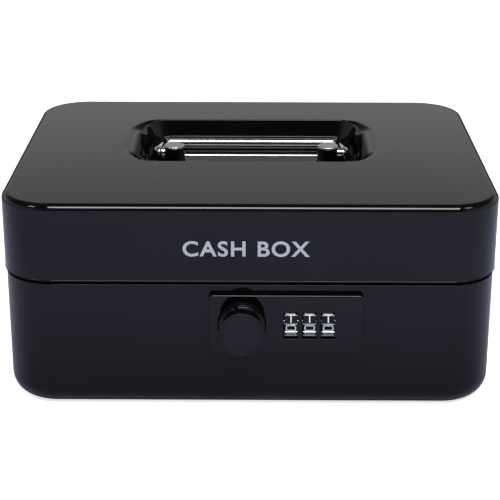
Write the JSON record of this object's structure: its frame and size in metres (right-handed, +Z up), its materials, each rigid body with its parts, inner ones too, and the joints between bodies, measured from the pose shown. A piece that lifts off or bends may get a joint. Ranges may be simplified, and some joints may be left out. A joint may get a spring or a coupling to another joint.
{
  "type": "cash box",
  "caption": "Small rectangular steel cash box with a hinged lid, folding carry handle in a recess, dial combination lock with a turning knob, and lift-out coin tray.",
  "frame": {"origin": "middle of the flat base, on the surface that the box stands on, midway between the body's walls", "axes": "+X to the right of someone facing the lock, +Y from the lock to the hinge, +Z up out of the base"},
  "size_m": [0.2, 0.1795, 0.0875],
  "materials": {
    "gloss_black_paint": "gloss black paint over pressed steel, slight orange peel",
    "chrome": "polished chrome plate",
    "satin_nickel": "satin nickel rivet heads",
    "zinc": "bright zinc plate on steel and die-cast zinc",
    "spring_steel": "bright spring steel",
    "brass": "brushed brass",
    "gloss_black_plastic": "gloss black lacquered casting and plastic",
    "dial_plastic": "black dials with silver ribs and figures",
    "tray_plastic": "fine-grained black moulded plastic"
  },
  "bodies": {
    "body": {"body_tub": "gloss_black_paint", "tray_ledge_left": "gloss_black_paint", "tray_ledge_right": "gloss_black_paint", "lock_plate": "gloss_black_plastic", "knob_collar": "gloss_black_plastic", "lock_case": "zinc", "dial_axle": "spring_steel", "lock_cover": "zinc", "cover_screw_1": "zinc", "cover_screw_2": "zinc", "detent_spring_1": "spring_steel", "detent_spring_2": "spring_steel", "detent_spring_3": "spring_steel", "lock_clamp": "zinc", "lock_screw_left": "zinc", "lock_screw_right": "zinc", "hinge_body_leaf": "gloss_black_paint", "hinge_pin": "zinc"},
    "lid": {"lid_shell": "gloss_black_paint", "lid_strike": "zinc", "handle_post_left": "gloss_black_plastic", "handle_post_right": "gloss_black_plastic", "post_rivet_left": "satin_nickel", "post_rivet_right": "satin_nickel", "post_washer_left": "zinc", "post_washer_right": "zinc", "hinge_lid_leaf": "gloss_black_paint"},
    "carry_handle": {"handle_bail": "chrome"},
    "knob": {"knob": "gloss_black_plastic", "knob_cap": "gloss_black_plastic", "knob_spindle": "zinc", "lock_cam": "zinc", "cam_washer": "zinc", "cam_nut": "zinc"},
    "locking_bar": {"locking_bar": "brass"},
    "dial_left": {"dial_left": "dial_plastic"},
    "dial_middle": {"dial_middle": "dial_plastic"},
    "dial_right": {"dial_right": "dial_plastic"},
    "reset_lever": {"reset_lever": "brass"},
    "tray": {"coin_tray": "tray_plastic"}
  },
  "joints": [
    {"name": "lid_hinge", "type": "hinge", "parent": "body", "child": "lid", "pos_m": [0, 0.0826, 0.0552], "axis": [-1, 0, 0], "range_deg": [0, 100]},
    {"name": "handle_pivot", "type": "hinge", "parent": "lid", "child": "carry_handle", "pos_m": [0, 0.0125, 0.0815], "axis": [1, 0, 0], "range_deg": [0, 188]},
    {"name": "knob_turn", "type": "hinge", "parent": "body", "child": "knob", "pos_m": [-0.003, -0.0875, 0.0385], "axis": [0, -1, 0], "range_deg": [0, 90]},
    {"name": "locking_bar_slide", "type": "slide", "parent": "body", "child": "locking_bar", "axis": [0, -1, 0], "range_m": [0, 0.001]},
    {"name": "reset_lever_slide", "type": "slide", "parent": "body", "child": "reset_lever", "axis": [1, 0, 0], "range_m": [0, 0.003]},
    {"name": "tray_lift", "type": "slide", "parent": "body", "child": "tray", "axis": [0, 0, 1], "range_m": [0, 0.012]},
    {"name": "dial_left_turn", "type": "hinge", "parent": "body", "child": "dial_left", "pos_m": [0.01656, -0.0791, 0.0385], "axis": [-1, 0, 0], "continuous": true},
    {"name": "dial_middle_turn", "type": "hinge", "parent": "body", "child": "dial_middle", "pos_m": [0.02397, -0.0791, 0.0385], "axis": [-1, 0, 0], "continuous": true},
    {"name": "dial_right_turn", "type": "hinge", "parent": "body", "child": "dial_right", "pos_m": [0.03138, -0.0791, 0.0385], "axis": [-1, 0, 0], "continuous": true}
  ],
  "couplings": [
    {"joint": "locking_bar_slide", "follows": "knob_turn", "m_per_rad": 0.00063}
  ]
}
